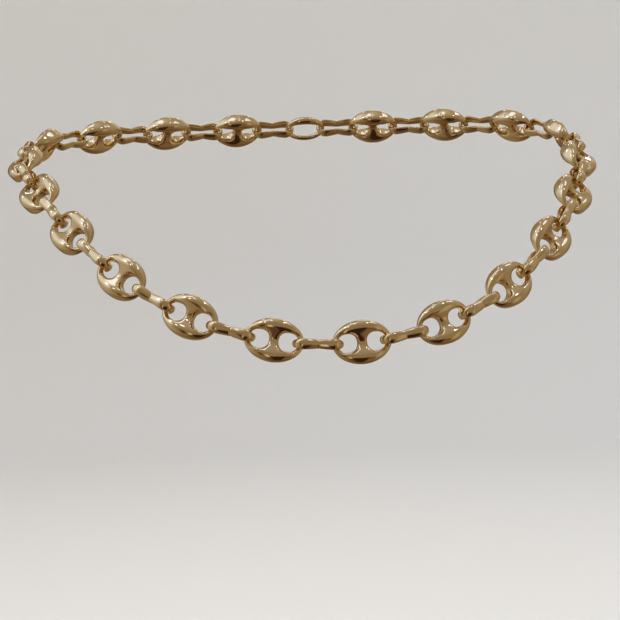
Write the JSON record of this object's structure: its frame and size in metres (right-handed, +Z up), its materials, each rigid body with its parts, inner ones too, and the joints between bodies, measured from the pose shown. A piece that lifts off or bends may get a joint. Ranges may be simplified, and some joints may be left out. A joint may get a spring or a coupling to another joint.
{
  "type": "coffee bean chain necklace",
  "caption": "Necklace of puffed oval bean links, each with a low crossbar between round holes, joined by slim crosswise connector links into a closed loop in its worn form.",
  "frame": {"origin": "middle of the neck opening, where the chain sits round the base of the neck", "axes": "+Z up along the neck, -Y towards the throat, +Y towards the nape, X from shoulder to shoulder"},
  "size_m": [0.1648, 0.1243, 0.064],
  "materials": {
    "polished_gold": null
  },
  "bodies": {
    "root": {"bean_link_01": "polished_gold", "bean_link_02": "polished_gold", "bean_link_03": "polished_gold", "bean_link_04": "polished_gold", "bean_link_05": "polished_gold", "bean_link_06": "polished_gold", "bean_link_07": "polished_gold", "bean_link_08": "polished_gold", "bean_link_09": "polished_gold", "bean_link_10": "polished_gold", "bean_link_11": "polished_gold", "bean_link_12": "polished_gold", "bean_link_13": "polished_gold", "bean_link_14": "polished_gold", "bean_link_15": "polished_gold", "bean_link_16": "polished_gold", "bean_link_17": "polished_gold", "bean_link_18": "polished_gold", "bean_link_19": "polished_gold", "bean_link_20": "polished_gold", "connector_link_01": "polished_gold", "connector_link_02": "polished_gold", "connector_link_03": "polished_gold", "connector_link_04": "polished_gold", "connector_link_05": "polished_gold", "connector_link_06": "polished_gold", "connector_link_07": "polished_gold", "connector_link_08": "polished_gold", "connector_link_09": "polished_gold", "connector_link_10": "polished_gold", "connector_link_11": "polished_gold", "connector_link_12": "polished_gold", "connector_link_13": "polished_gold", "connector_link_14": "polished_gold", "connector_link_15": "polished_gold", "connector_link_16": "polished_gold", "connector_link_17": "polished_gold", "connector_link_18": "polished_gold", "connector_link_19": "polished_gold", "connector_link_20": "polished_gold", "connector_link_21": "polished_gold", "plain_clasp": "polished_gold"}
  },
  "joints": []
}
